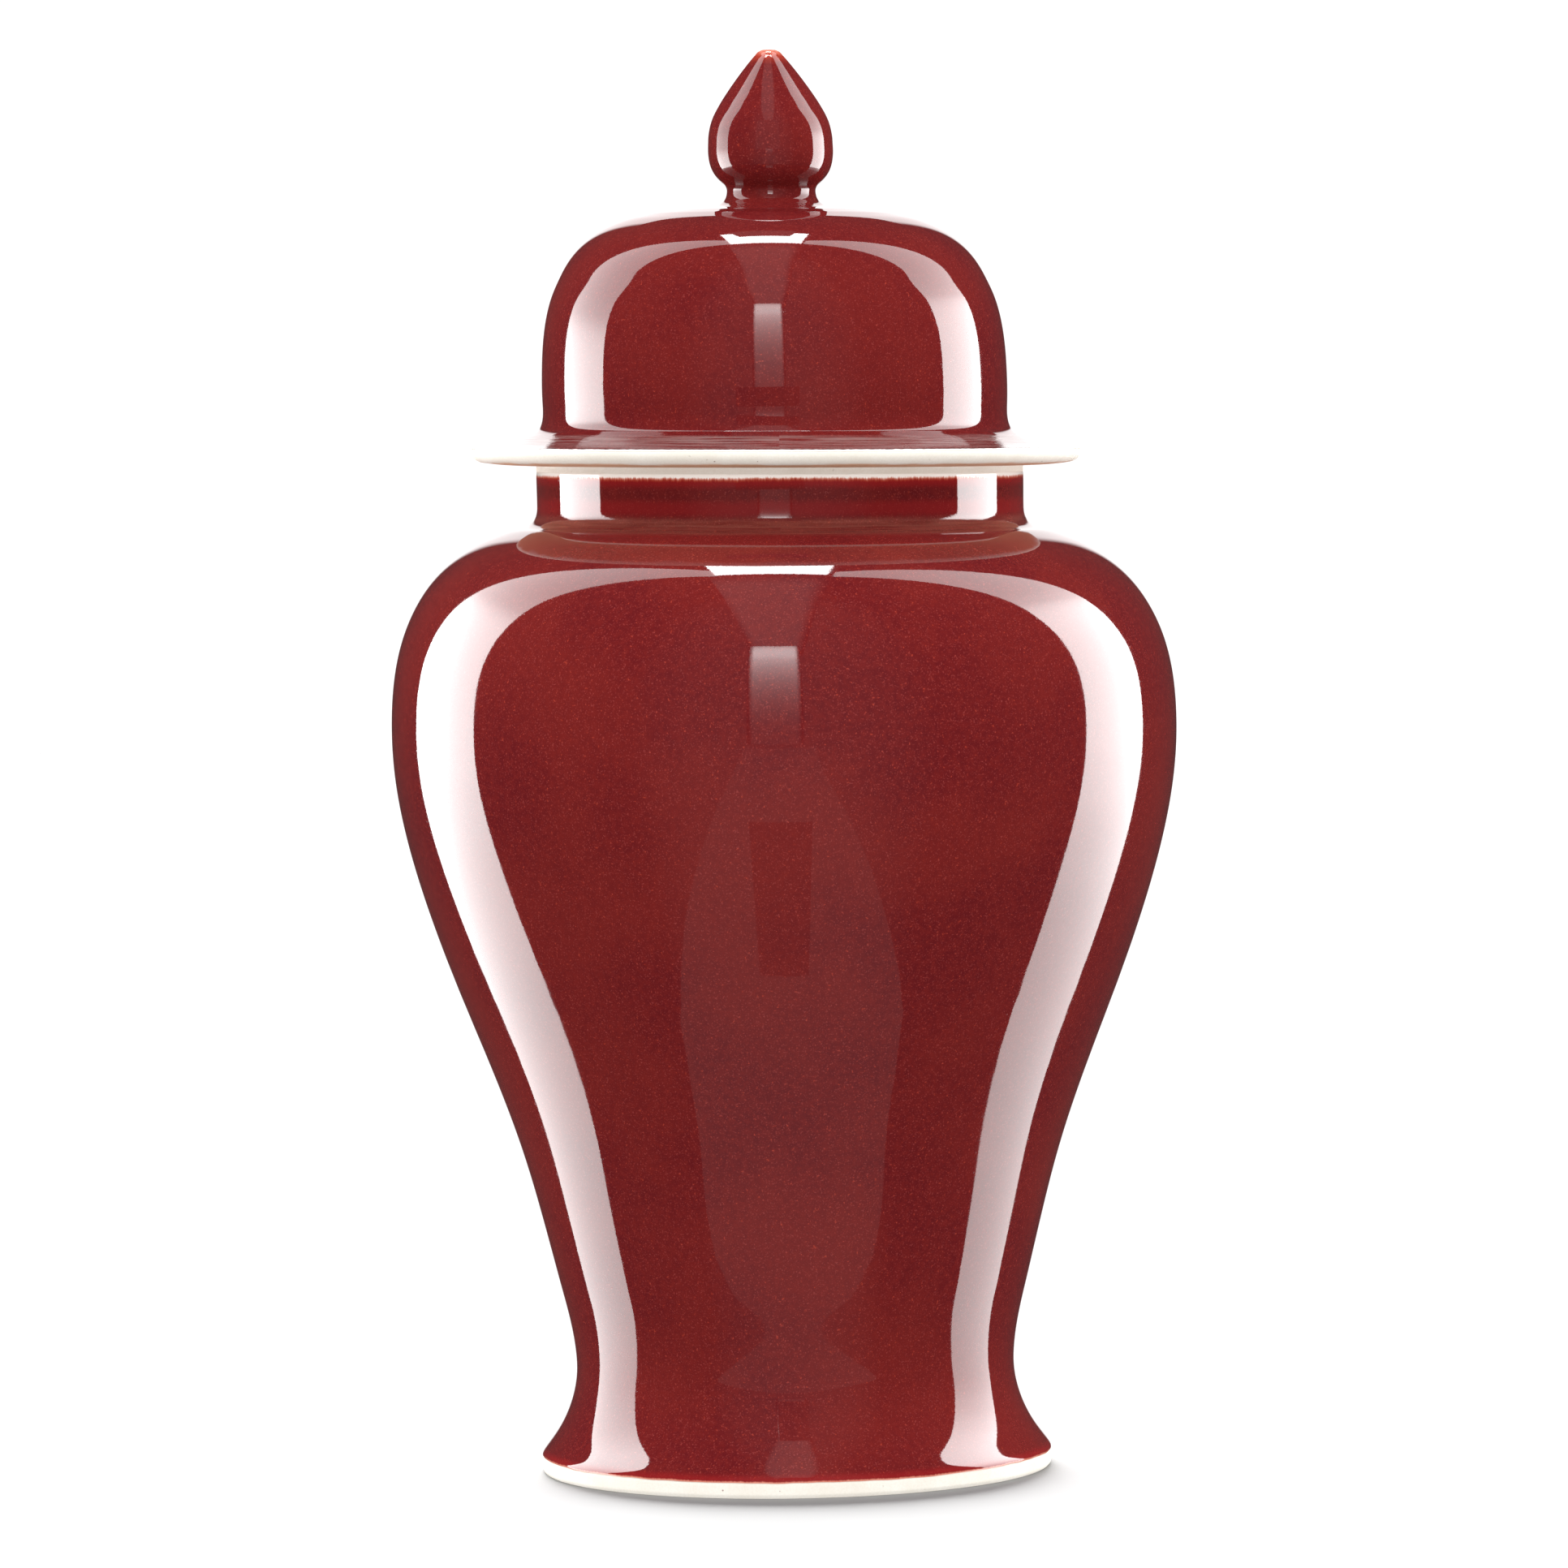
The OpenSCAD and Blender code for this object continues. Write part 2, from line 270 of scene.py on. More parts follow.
def grid_mesh(name, body, radius, height, closed, marks=()):
    """A mesh from rows of radii and heights round the axis. marks are (name, rows of vertex values)."""
    rows, steps = radius.shape
    angle = np.linspace(0, 2 * math.pi, steps, endpoint=False)
    points = np.stack([radius * np.cos(angle), radius * np.sin(angle), height], axis=-1)
    points = handmade(points, body)
    pole = radius.max(axis=1) < RING_GAP
    width = np.where(pole, 1, steps)
    first = np.r_[0, np.cumsum(width)]
    keep = np.concatenate([np.arange(w) + i * steps for i, w in enumerate(width)])
    index = [first[i] + (np.arange(steps + 1) % w) for i, w in enumerate(width)]
    faces = []
    for i in range(rows if closed else rows - 1):
        a, b = index[i], index[(i + 1) % rows]
        if pole[i] and pole[(i + 1) % rows]:
            continue
        for j in range(steps):
            corners = (a[j], a[j + 1], b[j + 1], b[j])
            faces.append(tuple(dict.fromkeys(int(c) for c in corners)))
    mesh = bpy.data.meshes.new(name)
    mesh.from_pydata(points.reshape(-1, 3)[keep], [], faces)
    for label, values in marks:
        layer = mesh.attributes.new(label, "FLOAT", "POINT")
        layer.data.foreach_set("value", values.reshape(-1)[keep].astype(np.float32))
    mesh.shade_smooth()
    mesh.set_sharp_from_angle(angle=math.radians(40))
    return mesh


def piece(mesh, node, body, material):
    """Puts the mesh in the scene in place of a CAD node."""
    made = bpy.data.objects.new(mesh.name, mesh)
    scene.collection.objects.link(made)
    mesh.materials.append(material)
    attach(made, body)
    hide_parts(node)
    return made


def turned(node, body, material, ease=0.4 * MM, steps=SEGMENTS, reshape=None):
    """A clay piece: the node's own outline, eased and turned round the axis."""
    line, closed = section(node)
    if reshape:
        line = reshape(line)
    line = smooth(line, closed, ease)
    radius = np.repeat(line[:, :1], steps, axis=1)
    height = np.repeat(line[:, 1:], steps, axis=1)
    return piece(grid_mesh(node + "_clay", body, radius, height, closed), node, body, material)


# ---------------------------------------------------------------- glaze coats

def faces_of_coat(node):
    """The outer face and the back of a thin coat, each from its lower end to its upper one."""
    line, closed = section(node)
    sharp = np.abs(turns(line, closed)) > 60
    count = len(line)
    caps = []
    for i in range(count if closed else count - 1):
        j = (i + 1) % count
        if sharp[i] and sharp[j] and np.hypot(*(line[i] - line[j])) < THICKEST_COAT:
            caps.append((i, j))
    if closed:
        (a, b), (c, d) = caps
        one = np.roll(line, -b, axis=0)[: (c - b) % count + 1]
        two = np.roll(line, -d, axis=0)[: (a - d) % count + 1]
    else:
        a, b = caps[0]
        one, two = line[: a + 1], line[b:]
    one, two = (face if face[0][1] <= face[-1][1] else face[::-1] for face in (one, two))
    return sorted((one, two), key=lambda face: face[:, 0].max(), reverse=True)


def back_rows(rows):
    """The rows from last to first, and only every second one where that still ends on the first."""
    return rows[::-1][::2] if len(rows) % 2 else rows[::-1]


def coat(node, body, material, fillet=1.6 * MM, low_wave=0.0, lip=BARE_SHARE):
    """A glaze coat that rounds off at its edges. Its vertices keep their distance from both edges."""
    face, back = faces_of_coat(node)
    thick = np.hypot(*(face[0] - back[0]))
    curve = smooth(face, False, fillet)
    dense = spline_of(curve)
    at = np.r_[0, np.cumsum(np.hypot(*np.diff(dense, axis=0).T))]
    along = np.gradient(dense, at, axis=0)
    side = np.column_stack([along[:, 1], -along[:, 0]]) / np.hypot(*along.T)[:, None]
    rows = np.r_[0, np.cumsum(np.hypot(*np.diff(curve, axis=0).T))]
    rows = np.unique(np.r_[rows, np.linspace(0, EDGE_ROLL, 8), rows[-1] - np.linspace(0, EDGE_ROLL, 8)])
    rows *= at[-1] / rows[-1]
    rows = rows[np.r_[True, np.diff(rows) > 0.05 * MM]]
    angle = np.linspace(0, 2 * math.pi, SEGMENTS, endpoint=False)
    lift = 0.55 + 0.35 * waves(angle, (2, 3, 5, 8, 13), 11) + 0.14 * waves(angle, range(21, 64, 6), 12)
    lift = low_wave * np.clip(lift, 0, 1.4)
    place = rows[:, None] + lift * np.exp(-rows[:, None] / WAVE_REACH)
    place = np.minimum(place, at[-1])
    low = place - lift
    high = at[-1] - place
    on_axis = face[-1][0] < RING_GAP
    roll = rolled(low) * (1 if on_axis else rolled(high))

    def rows_at(depth):
        radius = np.interp(place, at, dense[:, 0]) - depth * np.interp(place, at, side[:, 0])
        height = np.interp(place, at, dense[:, 1]) - depth * np.interp(place, at, side[:, 1])
        if on_axis:
            radius[-1] = 0
        return radius, height

    front = rows_at(lip * thick * (1 - roll))
    rear = rows_at(thick + SINK)
    radius, height = (np.vstack([ahead, back_rows(behind)]) for ahead, behind in zip(front, rear))
    distances = (("from_low_edge", low), ("from_high_edge", high))
    marks = [(label, np.vstack([values, back_rows(values)])) for label, values in distances]
    mesh = grid_mesh(node + "_coat", body, radius, height, True, marks)
    return piece(mesh, node, body, material)


def spline_of(curve):
    """The curve with evenly close points."""
    at = np.r_[0, np.cumsum(np.hypot(*np.diff(curve, axis=0).T))]
    place = np.linspace(0, at[-1], int(at[-1] / (0.15 * MM)))
    return np.column_stack([np.interp(place, at, curve[:, 0]), np.interp(place, at, curve[:, 1])])


def rolled(distance):
    """From 0 at a coat's edge to 1 where it has its full height."""
    share = np.clip(distance / EDGE_ROLL, 0, 1)
    return np.sqrt(1 - (1 - share) ** 2)


def without_ledge(coat_node):
    """A change to a clay outline that brings it up to just below the face of the coat that ends on it."""
    face, back = faces_of_coat(coat_node)

    def reshape(line):
        line = line.copy()
        keep = np.ones(len(line), bool)
        for outer, inner in ((face[0], back[0]), (face[-1], back[-1])):
            at_outer = np.hypot(*(line - outer).T) < 2 * RING_GAP
            at_inner = np.hypot(*(line - inner).T) < 2 * RING_GAP
            if at_outer.any() and at_inner.any():
                band = np.abs(line[:, 0] - outer[0]) < 2 * RING_GAP
                line[band, 0] += BARE_SHARE * (inner - outer)[0]
                line[at_outer, 1] += BARE_SHARE * (inner - outer)[1]
                keep &= ~at_inner
        return line[keep]

    return reshape


# ---------------------------------------------------------------- materials

MIX_COLOUR_A, MIX_COLOUR_B, MIX_COLOUR_OUT = 6, 7, 2  # the Mix node's sockets when it mixes colours


class Shader:
    """A material whose nodes are added one call at a time."""

    def __init__(self, name, **sockets):
        self.material = bpy.data.materials.new(name)
        self.material.use_nodes = True
        self.tree = self.material.node_tree
        self.surface = self.tree.nodes["Principled BSDF"]
        for socket, value in sockets.items():
            self.surface.inputs[socket.replace("_", " ")].default_value = value
        self.place = self.add("ShaderNodeTexCoord").outputs["Object"]

    def add(self, kind, links=(), **settings):
        """A new node; links are (input, value or output) pairs."""
        node = self.tree.nodes.new(kind)
        for key, value in settings.items():
            setattr(node, key, value)
        for socket, value in links:
            self.put(node.inputs[socket], value)
        return node

    def put(self, socket, value):
        if isinstance(value, bpy.types.NodeSocket):
            self.tree.links.new(value, socket)
        else:
            socket.default_value = value

    def drive(self, socket, value):
        """Sets one of the surface's own inputs."""
        self.put(self.surface.inputs[socket], value)

    def noise(self, size, detail=2.0, roughness=0.5, stretch=None):
        """Noise with features of about this size in metres, stretched by the three factors given."""
        place = self.place
        if stretch:
            place = self.add("ShaderNodeMapping", [("Vector", place), ("Scale", stretch)]).outputs["Vector"]
        links = [("Vector", place), ("Scale", 1 / size), ("Detail", detail), ("Roughness", roughness)]
        return self.add("ShaderNodeTexNoise", links).outputs["Fac"]

    def noise_around(self, size):
        """Noise in rings about the axis, as turning leaves it, broken up along each ring."""
        x, y = self.add("ShaderNodeSeparateXYZ", [(0, self.place)]).outputs[:2]
        radius = self.math("SQRT", self.math("ADD", self.math("MULTIPLY", x, x), self.math("MULTIPLY", y, y)))
        around = self.math("MULTIPLY", self.math("ARCTAN2", x, y), 3 * size)
        place = self.add("ShaderNodeCombineXYZ", [(0, radius), (1, around)]).outputs[0]
        links = [("Vector", place), ("Scale", 1 / size), ("Detail", 3.0), ("Roughness", 0.6)]
        return self.add("ShaderNodeTexNoise", links).outputs["Fac"]

    def dots(self, size, radius):
        """1 inside sparse round dots, falling to 0 at their rims."""
        cells = self.add("ShaderNodeTexVoronoi", [("Vector", self.place), ("Scale", 1 / size)])
        return self.ramp(cells.outputs["Distance"], radius, 0.6 * radius)

    def mark(self, name):
        """A value kept on the mesh's vertices."""
        return self.add("ShaderNodeAttribute", attribute_name=name).outputs["Fac"]

    def math(self, operation, a, b=0.0):
        links = [(0, a), (1, b)]
        return self.add("ShaderNodeMath", links, operation=operation).outputs["Value"]

    def ramp(self, value, low, high, to_low=0.0, to_high=1.0):
        """Maps the range low..high smoothly to to_low..to_high, held at both ends."""
        links = [("Value", value), ("From Min", low), ("From Max", high)]
        links += [("To Min", to_low), ("To Max", to_high)]
        return self.add("ShaderNodeMapRange", links, interpolation_type="SMOOTHSTEP").outputs["Result"]

    def mix(self, share, a, b):
        """From colour a to colour b."""
        links = [("Factor", share), (MIX_COLOUR_A, a), (MIX_COLOUR_B, b)]
        return self.add("ShaderNodeMix", links, data_type="RGBA").outputs[MIX_COLOUR_OUT]

    def bump(self, height, distance, normal=None):
        links = [("Height", height), ("Distance", distance)] + ([("Normal", normal)] if normal else [])
        return self.add("ShaderNodeBump", links).outputs["Normal"]


def rgb(r, g, b):
    return (r, g, b, 1.0)


DEEP = rgb(0.092, 0.0062, 0.0078)
BLOOD = rgb(0.120, 0.0088, 0.0088)
WARM = rgb(0.165, 0.0150, 0.0110)
CRIMSON = rgb(0.230, 0.0100, 0.0110)
POOLED = rgb(0.050, 0.0035, 0.0045)
SPECK = rgb(0.280, 0.0500, 0.0460)
ORANGE = rgb(0.330, 0.0380, 0.0200)
FRINGE = rgb(0.620, 0.2300, 0.1650)
# The tan below is painted shade: the dark line under the lid's brim, where it overhangs the neck.
SHADE_TAN = rgb(0.560, 0.3300, 0.2000)
PORCELAIN = rgb(0.940, 0.9150, 0.8650)


def oxblood(shader):
    """The colour of a thick copper-red glaze: clouded, mottled and full of fine warm specks."""
    cloud = shader.ramp(shader.noise(55 * MM, 3), 0.35, 0.65)
    mottle = shader.ramp(shader.noise(2.2 * MM, 3, 0.6), 0.32, 0.68)
    colour = shader.mix(shader.math("MULTIPLY", mottle, 0.9), DEEP, BLOOD)
    colour = shader.mix(shader.math("MULTIPLY", cloud, 0.35), colour, WARM)
    grain = shader.ramp(shader.noise(0.55 * MM, 1), 0.55, 0.80)
    colour = shader.mix(shader.math("MULTIPLY", grain, 0.5), colour, SPECK)
    fleck = shader.ramp(shader.noise(1.1 * MM, 2), 0.66, 0.76)
    return shader.mix(shader.math("MULTIPLY", fleck, 0.5), colour, ORANGE)


def glossy_skin(shader, below=None):
    """The relief of a thick glaze: a slow swell, orange peel and a few pin bubbles, over any relief below."""
    swell = shader.bump(shader.noise(16 * MM, 1), 0.012 * MM, below)
    peel = shader.bump(shader.noise(0.9 * MM, 1), 0.0022 * MM, swell)
    pins = shader.bump(shader.dots(2.6 * MM, 0.13), 0.0022 * MM, peel)
    shader.drive("Normal", pins)
    shader.drive("Roughness", shader.ramp(shader.noise(30 * MM), 0.3, 0.7, 0.025, 0.05))


def jar_oxblood():
    """Oxblood that runs off the neck's top in streaks and thins to crimson at the foot line."""
    shader = Shader("jar_oxblood_glaze", IOR=1.5)
    streaks = shader.noise(0.8 * MM, 3, 0.7, stretch=(1, 1, 0.2))
    slow = shader.noise(26 * MM, 2)
    ragged = shader.math("MULTIPLY", shader.math("SUBTRACT", streaks, 0.5), 1.8 * MM)
    drift = shader.math("MULTIPLY", shader.math("SUBTRACT", slow, 0.5), 0.9 * MM)
    down = shader.math("ADD", shader.mark("from_high_edge"), shader.math("ADD", ragged, drift))
    up = shader.math("ADD", shader.mark("from_low_edge"), shader.math("MULTIPLY", ragged, 0.4))
    thin = shader.math("MULTIPLY", shader.ramp(down, 8 * MM, 11 * MM), shader.ramp(down, 16 * MM, 13 * MM))
    colour = shader.mix(shader.math("MULTIPLY", thin, 0.5), oxblood(shader), CRIMSON)
    colour = shader.mix(shader.ramp(down, 6.0 * MM, 2.4 * MM), colour, CRIMSON)
    colour = shader.mix(shader.ramp(down, 2.9 * MM, 1.9 * MM), colour, ORANGE)
    colour = shader.mix(shader.ramp(down, 2.2 * MM, 1.4 * MM), colour, FRINGE)
    colour = shader.mix(shader.ramp(down, 1.7 * MM, 0.9 * MM), colour, PORCELAIN)
    colour = shader.mix(shader.ramp(up, 4.0 * MM, 1.0 * MM, 0, 0.6), colour, CRIMSON)
    colour = shader.mix(shader.ramp(up, 0.8 * MM, 0.1 * MM), colour, FRINGE)
    # Painted light: from 14 to 29 mm below the neck's top edge, pale pink is mixed in, most on the turning
    # ridges, standing in for the ridges' highlights and lifting the shade that the brim casts there.
    ring = shader.math("MULTIPLY", shader.ramp(down, 14 * MM, 17 * MM), shader.ramp(down, 29 * MM, 25 * MM))
    grooves = shader.noise_around(1.2 * MM)
    ring_painted_light = shader.math("MULTIPLY", ring, shader.ramp(grooves, 0.35, 0.65, 0.04, 0.14))
    shader.drive("Base Color", shader.mix(ring_painted_light, colour, FRINGE))
    glossy_skin(shader, shader.bump(shader.math("MULTIPLY", grooves, ring), 0.04 * MM))
    return shader.material


def lid_oxblood():
    """Oxblood that pools in a dark line at the brim's edge, and thins to pink over the finial's tip."""
    shader = Shader("lid_oxblood_glaze", IOR=1.5)
    fine = shader.math("MULTIPLY", shader.math("SUBTRACT", shader.noise(1.8 * MM, 3), 0.5), 1.2 * MM)
    out = shader.math("ADD", shader.mark("from_low_edge"), fine)
    down = shader.math("ADD", shader.mark("from_high_edge"), shader.math("MULTIPLY", fine, 2.0))
    pooled = shader.ramp(out, 2.6 * MM, 1.3 * MM, 0.07, 0.8)
    colour = shader.mix(pooled, oxblood(shader), POOLED)
    colour = shader.mix(shader.ramp(out, 0.75 * MM, 0.35 * MM), colour, PORCELAIN)
    colour = shader.mix(shader.ramp(down, 11.0 * MM, 4.0 * MM), colour, ORANGE)
    colour = shader.mix(shader.ramp(down, 6.5 * MM, 2.0 * MM), colour, FRINGE)
    brim = shader.ramp(out, 23 * MM, 19 * MM)
    grooves = shader.noise_around(1.4 * MM)
    wiped = shader.math("MULTIPLY", shader.ramp(grooves, 0.35, 0.65), shader.math("MULTIPLY", brim, 0.13))
    wiped = shader.math("MULTIPLY", wiped, shader.ramp(out, 2.0 * MM, 4.0 * MM))
    colour = shader.mix(wiped, colour, PORCELAIN)
    shader.drive("Base Color", colour)
    glossy_skin(shader, shader.bump(shader.math("MULTIPLY", grooves, brim), 0.12 * MM))
    return shader.material


def biscuit(name="bare_clay", painted_shade_below=None):
    """Bare fired clay: cream, dry and faintly turned, with specks and pits, and, where asked, a tan painted
    shade line low down for the shadow under the lid's brim.
    """
    shader = Shader(name, IOR=1.45)
    cloud = shader.ramp(shader.noise(14 * MM, 3), 0.3, 0.7)
    colour = shader.mix(cloud, rgb(0.66, 0.62, 0.55), rgb(0.70, 0.67, 0.61))
    grain = shader.ramp(shader.noise(0.7 * MM, 2), 0.30, 0.70)
    colour = shader.mix(shader.math("MULTIPLY", grain, 0.25), colour, rgb(0.58, 0.52, 0.44))
    iron = shader.dots(6.5 * MM, 0.06)
    colour = shader.mix(shader.math("MULTIPLY", iron, 0.75), colour, rgb(0.16, 0.065, 0.045))
    # Painted shade: tan below the given height, for the dark line where the brim overhangs the neck; it
    # follows the warp and wanders a little.
    if painted_shade_below:
        place = shader.add("ShaderNodeSeparateXYZ", [(0, shader.place)])
        sag = shader.math("MULTIPLY", place.outputs["X"], math.tan(WARP))
        height = shader.math("ADD", place.outputs["Z"], sag)
        wander = shader.math("MULTIPLY", shader.math("SUBTRACT", cloud, 0.5), 0.5 * MM)
        height = shader.math("ADD", height, wander)
        colour = shader.mix(shader.ramp(height, painted_shade_below, painted_shade_below - 0.7 * MM), colour, SHADE_TAN)
    shader.drive("Base Color", colour)
    shader.drive("Roughness", shader.ramp(grain, 0, 1, 0.62, 0.8))
    turning = shader.bump(shader.noise(2.4 * MM, 2, stretch=(0.02, 0.02, 1)), 0.05 * MM)
    gritty = shader.bump(shader.noise(0.5 * MM, 2), 0.03 * MM, turning)
    shader.drive("Normal", shader.bump(shader.dots(5.2 * MM, 0.07), -0.15 * MM, gritty))
    return shader.material


def clear_glaze():
    """Thin clear glaze over the clay: glossy, greyer where it is thick, with faint rings from the wheel."""
    shader = Shader("clear_glaze_on_clay", IOR=1.5)
    cloud = shader.ramp(shader.noise(30 * MM, 3), 0.3, 0.7)
    colour = shader.mix(cloud, rgb(0.60, 0.60, 0.555), rgb(0.68, 0.66, 0.61))
    specks = shader.math("MULTIPLY", shader.dots(6.0 * MM, 0.05), 0.6)
    shader.drive("Base Color", shader.mix(specks, colour, rgb(0.20, 0.11, 0.075)))
    rings = shader.bump(shader.noise(7 * MM, 1, stretch=(0.05, 0.05, 1)), 0.35 * MM)
    shader.drive("Normal", shader.bump(shader.noise(1.4 * MM, 1), 0.003 * MM, rings))
    shader.drive("Roughness", shader.ramp(cloud, 0, 1, 0.04, 0.09))
    return shader.material


# ---------------------------------------------------------------- the object

def jar():
    clay = biscuit()
    clear = clear_glaze()
    turned("foot_ring", "jar", clay, ease=0.9 * MM, reshape=without_ledge("body_glaze"))
    turned("floor_disc", "jar", clay, steps=INNER_SEGMENTS)
    turned("lower_body", "jar", clay, steps=INNER_SEGMENTS)
    turned("upper_body", "jar", clay, steps=INNER_SEGMENTS)
    turned("neck_collar", "jar", clay, reshape=without_ledge("body_glaze"))
    coat("body_glaze", "jar", jar_oxblood(), fillet=5.5 * MM, low_wave=FOOT_WAVE)
    turned("lining_glaze", "jar", clear)
    turned("base_glaze", "jar", clear, ease=0.2 * MM)


def lid():
    clay = biscuit()
    underside = section("lid_flange")[0][:, 1].min()
    # The flange's lowest half millimetre gets a tan painted shade line, for the shadow under the brim.
    clay_with_shade_line = biscuit("flashed_clay", painted_shade_below=underside + 0.5 * MM)
    turned("lid_flange", "lid", clay_with_shade_line, ease=0.6 * MM)
    turned("lid_seat_ring", "lid", clay, ease=0.6 * MM)
    turned("lid_dome", "lid", clay, steps=INNER_SEGMENTS)
    turned("finial_stem", "lid", clay, steps=INNER_SEGMENTS)
    turned("finial_bud", "lid", clay, steps=INNER_SEGMENTS)
    coat("lid_glaze", "lid", lid_oxblood(), lip=1.0)
    turned("lid_lining_glaze", "lid", clear_glaze())


# ---------------------------------------------------------------- the studio

FILL = 0.97  # light from all round on the matt part of each surface
DARK = 0.045  # what the gloss sees where there is no panel
BRIGHT = 1.08  # the background that the camera sees, a little past white
FLOOR_SIZE = 12.0
FLAG_GAP = 0.005  # how far left of the middle the flags stand, as the camera's window does
EYE, AIM = Vector((0, -3.087, 0.3939)), Vector((0, 0, 0.2446))  # the camera's place and the point it looks at
LENS = 198.82  # mm, on a sensor 36 mm wide
SHIFT = -0.00078  # of the picture's width
TILT = math.radians(-1.0)  # how far off level the camera is


def glow_ramp(tree, stops, height):
    """Strength by height in metres, straight between (height, strength) stops."""
    low, high = stops[0][0], stops[-1][0]
    most = max(glow for _, glow in stops)
    spread = tree.nodes.new("ShaderNodeMapRange")
    spread.inputs["From Min"].default_value = low
    spread.inputs["From Max"].default_value = high
    tree.links.new(height, spread.inputs["Value"])
    curve = tree.nodes.new("ShaderNodeFloatCurve")
    points = curve.mapping.curves[0].points
    for i, (at, glow) in enumerate(stops):
        place = ((at - low) / (high - low), glow / most)
        point = points[i] if i < 2 else points.new(*place)
        point.location = place
    curve.mapping.update()
    tree.links.new(spread.outputs["Result"], curve.inputs["Value"])
    return times(tree, curve.outputs["Value"], most)


def times(tree, a, b):
    return maths(tree, "MULTIPLY", a, b)


def maths(tree, operation, a, b):
    node = tree.nodes.new("ShaderNodeMath")
    node.operation = operation
    for socket, value in zip(node.inputs, (a, b)):
        if isinstance(value, bpy.types.NodeSocket):
            tree.links.new(value, socket)
        else:
            socket.default_value = value
    return node.outputs["Value"]


def soft_edge(tree, across, width):
    """1 inside a card, falling to 0 over this share of its width at both edges."""
    parts = []
    for low, high in ((0, width), (1, 1 - width)):
        ramp = tree.nodes.new("ShaderNodeMapRange")
        ramp.interpolation_type = "SMOOTHSTEP"
        ramp.inputs["From Min"].default_value = low
        ramp.inputs["From Max"].default_value = high
        tree.links.new(across, ramp.inputs["Value"])
        parts.append(ramp.outputs["Result"])
    return times(tree, *parts)


def emission(name, stops, soft_x=0.0, soft_y=0.0):
    """A glow that follows the stops over the card's height and fades into the dark room at its soft edges."""
    material = bpy.data.materials.new(name)
    material.use_nodes = True
    material.cycles.emission_sampling = "NONE"
    tree = material.node_tree
    tree.nodes.clear()
    place = tree.nodes.new("ShaderNodeTexCoord")
    split = tree.nodes.new("ShaderNodeSeparateXYZ")
    share = tree.nodes.new("ShaderNodeSeparateXYZ")
    tree.links.new(place.outputs["Object"], split.inputs[0])
    tree.links.new(place.outputs["Generated"], share.inputs[0])
    strength = glow_ramp(tree, stops, split.outputs["Z"])
    if soft_x:
        strength = times(tree, strength, soft_edge(tree, share.outputs["X"], soft_x))
    if soft_y:
        strength = times(tree, strength, soft_edge(tree, share.outputs["Y"], soft_y))
    strength = maths(tree, "MAXIMUM", strength, DARK)
    glow = tree.nodes.new("ShaderNodeEmission")
    end = tree.nodes.new("ShaderNodeOutputMaterial")
    tree.links.new(strength, glow.inputs["Strength"])
    tree.links.new(glow.outputs[0], end.inputs["Surface"])
    return material


def panel(name, corners, stops, **soft):
    """A glowing card that only reflections see."""
    mesh = bpy.data.meshes.new(name)
    mesh.from_pydata(corners, [], [range(len(corners))])
    mesh.materials.append(emission(name, stops, **soft))
    card = bpy.data.objects.new(name, mesh)
    scene.collection.objects.link(card)
    for ray in ("camera", "diffuse", "shadow", "transmission", "volume_scatter"):
        setattr(card, "visible_" + ray, False)


def upright(name, a, b, stops, **soft):
    """A standing panel between two points of the plan, over the heights of its stops."""
    bottom, top = stops[0][0], stops[-1][0]
    panel(name, [(*a, bottom), (*b, bottom), (*b, top), (*a, top)], stops, **soft)


def sheet(name, plan, height, glow, **soft):
    """A level panel over the corners of its plan."""
    panel(name, [(x, y, height) for x, y in plan], [(height - 1, glow), (height + 1, glow)], **soft)


def panels():
    """Two tall strip boxes beside the jar, a box overhead, and the dim room in front and behind."""
    left = [(-0.5, 6.6), (-0.1, 6.4), (0.1, 8.2), (0.2, 10.5), (0.3, 12)]
    left += [(0.4, 11.5), (0.5, 6.0), (0.66, 4.6), (2.4, 5)]
    right = [(-0.5, 6.6), (-0.1, 5.6), (0.1, 7.8), (0.2, 10.5), (0.32, 12)]
    right += [(0.46, 12), (0.6, 7), (0.8, 5), (3.2, 5)]
    upright("left_strip", (-0.322, -0.042), (-0.316, 0.141), left)
    upright("right_strip", (0.400, -0.048), (0.470, 0.220), right)
    sheet("overhead", [(-0.233, -0.05), (0.187, -0.05), (0.187, 0.30), (-0.233, 0.30)], 1.5, 20)
    ceiling = [(-0.49, -3.0), (0.33, -3.0), (0.29, 0.1), (-0.36, 0.1)]
    sheet("front_ceiling", ceiling, 2.0, 0.62, soft_x=0.2, soft_y=0.16)
    paper = [(-1.2, -6.3), (-0.385, -1.52), (-0.25, -0.68), (-0.198, -0.34), (-0.180, -0.275)]
    paper += [(-0.165, -0.23), (-0.142, -0.205), (-0.112, -0.186), (-0.075, -0.174), (-0.03, -0.168)]
    paper += [(0.02, -0.168), (0.07, -0.173), (0.115, -0.185), (0.152, -0.205), (0.176, -0.232)]
    paper += [(0.186, -0.28), (0.19, -0.34), (0.215, -0.68), (0.28, -1.5), (0.93, -6.3)]
    sheet("table_paper", paper, -0.001, 0.30)
    window = [(0.20, 0.31), (0.36, 0.5), (0.64, 1.7), (0.86, 3.8), (1.02, 6.2), (1.20, 9.0), (1.31, 0.6)]
    upright("front_window", (-0.27, -1.5), (0.14, -1.5), window, soft_x=0.12)
    room = [(-9, DARK), (-4, 0.19), (5, 0.19), (12, DARK)]
    upright("front_room", (-6, -4.2), (6, -4.2), room, soft_x=0.45)
    behind = [(-0.3, 1.35), (0.6, 1.6), (1.3, 2.2)]
    upright("backdrop", (-0.42, 1.5), (0.42, 1.5), behind, soft_x=0.12)
    window_flags()


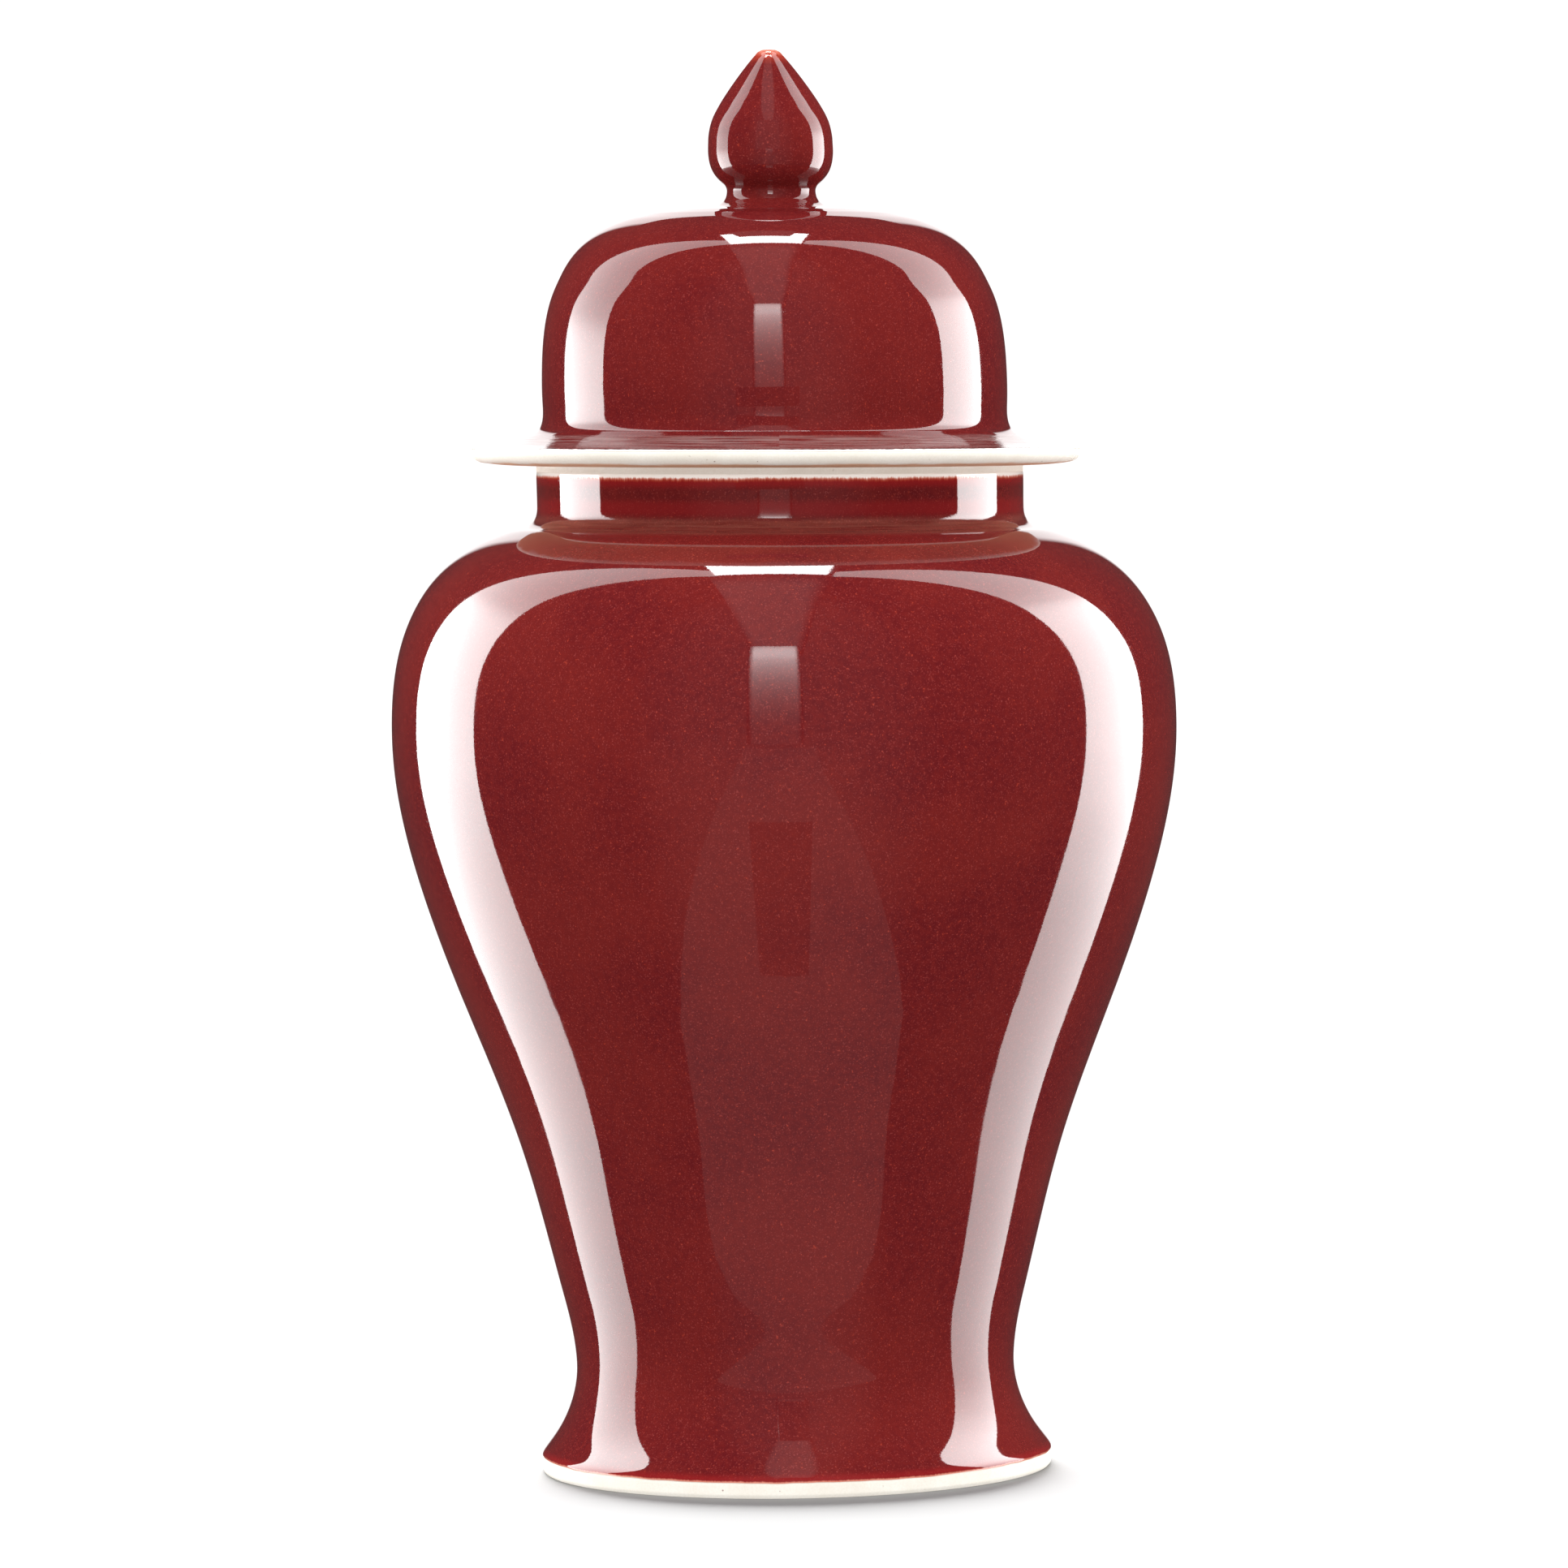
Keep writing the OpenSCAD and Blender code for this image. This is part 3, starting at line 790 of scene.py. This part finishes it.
def window_flags():
    """Small dim cards just in front of the jar, which keep the window out of its foot, neck, dome and bud."""
    flags = [("foot", 30, 250, 60, 190, 0.13), ("neck", 16, 100, 350.5, 359.3, 0.09)]
    flags += [("dome", 16, 100, 378.5, 386.5, 0.08), ("bud", 16, 50, 471, 505, 0.31)]
    for name, half_width, depth, low, high, glow in flags:
        left, right = (side * half_width * MM - FLAG_GAP for side in (-1, 1))
        stops = [(low * MM, glow), (high * MM, glow)]
        upright(name + "_flag", (left, -depth * MM), (right, -depth * MM), stops)


def lamp(name, place, size, watts):
    """A soft box, turned to the jar, that lights only the jar's matt part and isn't itself reflected."""
    data = bpy.data.lights.new(name, "AREA")
    data.shape = "RECTANGLE"
    data.size, data.size_y = size
    data.energy = watts
    made = light(name, data, place, (0, 0, 0.25))
    made.light_linking.receiver_collection = group(name + "_receiver", *object_pieces())


def light(name, data, place, aim):
    made = bpy.data.objects.new(name, data)
    scene.collection.objects.link(made)
    turn = (Vector(aim) - Vector(place)).to_track_quat("-Z", "Y").to_matrix().to_4x4()
    made.matrix_world = Matrix.Translation(place) @ turn
    made.visible_camera = False
    made.visible_glossy = False
    return made


def object_pieces():
    return [made for made in scene.objects if made.name.endswith(("_clay", "_coat"))]


def lamps():
    """Soft boxes above and at both sides, and the bounce from the white table in front."""
    lamp("top_lamp", (0, -1.1, 1.9), (1.0, 1.0), 25)
    lamp("left_lamp", (-1.2, 0.1, 1.15), (0.9, 0.9), 9)
    lamp("right_lamp", (1.2, 0.1, 1.15), (0.9, 0.9), 9)
    lamp("left_rim", (-1.25, 0.75, 0.4), (0.6, 1.2), 18)
    lamp("right_rim", (1.25, 0.75, 0.4), (0.6, 1.2), 17)
    lamp("front_bounce", (0, -1.6, 0.03), (2.4, 0.4), 10)


def group(name, *members):
    made = bpy.data.collections.new(name)
    for member in members:
        made.objects.link(member)
    return made


def table_light(ground):
    """Light for the table alone, most of it low and from behind, so that the foot's shadow falls forward."""
    suns = [("table_sun", (0, 0, -1), 20, 0.5), ("low_sun", (0.10, -1, -0.22), 40, 32.0)]
    for name, aim, angle, strength in suns:
        data = bpy.data.lights.new(name, "SUN")
        data.angle = math.radians(angle)
        data.energy = strength
        made = light(name, data, (0, 0, 0), aim)
        made.light_linking.receiver_collection = group(name + "_receiver", ground)
        made.light_linking.blocker_collection = group(name + "_blocker", bpy.data.objects["foot_ring_clay"])


def floor():
    """A large pale sheet under the foot, which takes shadows and gives none of its own light."""
    half = FLOOR_SIZE / 2
    mesh = bpy.data.meshes.new("floor")
    corners = [(-half, -half, 0), (half, -half, 0), (half, half, 0), (-half, half, 0)]
    mesh.from_pydata(corners, [], [(0, 1, 2, 3)])
    shader = Shader("floor_white", Roughness=0.9)
    shader.drive("Specular IOR Level", 0.0)
    paper = shader.noise(40 * MM, 2)
    shader.drive("Base Color", shader.mix(paper, rgb(0.345, 0.345, 0.345), rgb(0.355, 0.355, 0.355)))
    mesh.materials.append(shader.material)
    ground = bpy.data.objects.new("floor", mesh)
    scene.collection.objects.link(ground)
    for ray in ("diffuse", "glossy", "shadow"):
        setattr(ground, "visible_" + ray, False)
    return ground


def world():
    """White light from all round, which the gloss sees as a dark room."""
    made = bpy.data.worlds.new("studio")
    scene.world = made
    made.use_nodes = True
    tree = made.node_tree
    path = tree.nodes.new("ShaderNodeLightPath")
    shown = tree.nodes["Background"]
    gloss = tree.nodes.new("ShaderNodeMix")
    camera = tree.nodes.new("ShaderNodeMix")
    gloss.inputs["A"].default_value = FILL
    gloss.inputs["B"].default_value = DARK
    camera.inputs["B"].default_value = BRIGHT
    tree.links.new(path.outputs["Is Glossy Ray"], gloss.inputs["Factor"])
    tree.links.new(gloss.outputs["Result"], camera.inputs["A"])
    tree.links.new(path.outputs["Is Camera Ray"], camera.inputs["Factor"])
    shown.inputs["Color"].default_value = rgb(1, 1, 1)
    tree.links.new(camera.outputs["Result"], shown.inputs["Strength"])


def camera():
    """A long lens in front of the jar, slightly above its middle and a degree off level."""
    data = bpy.data.cameras.new("camera")
    made = bpy.data.objects.new("camera", data)
    scene.collection.objects.link(made)
    scene.camera = made
    data.sensor_width = 36
    data.lens = LENS
    data.shift_x = SHIFT
    data.clip_start = 0.1
    data.clip_end = 50
    turn = (AIM - EYE).to_track_quat("-Z", "Y").to_matrix().to_4x4()
    made.matrix_world = Matrix.Translation(EYE) @ turn @ Matrix.Rotation(TILT, 4, "Z")


def colour_management():
    scene.view_settings.view_transform = "Standard"
    scene.view_settings.look = "None"


jar()
lid()
panels()
lamps()
table_light(floor())
world()
camera()
colour_management()
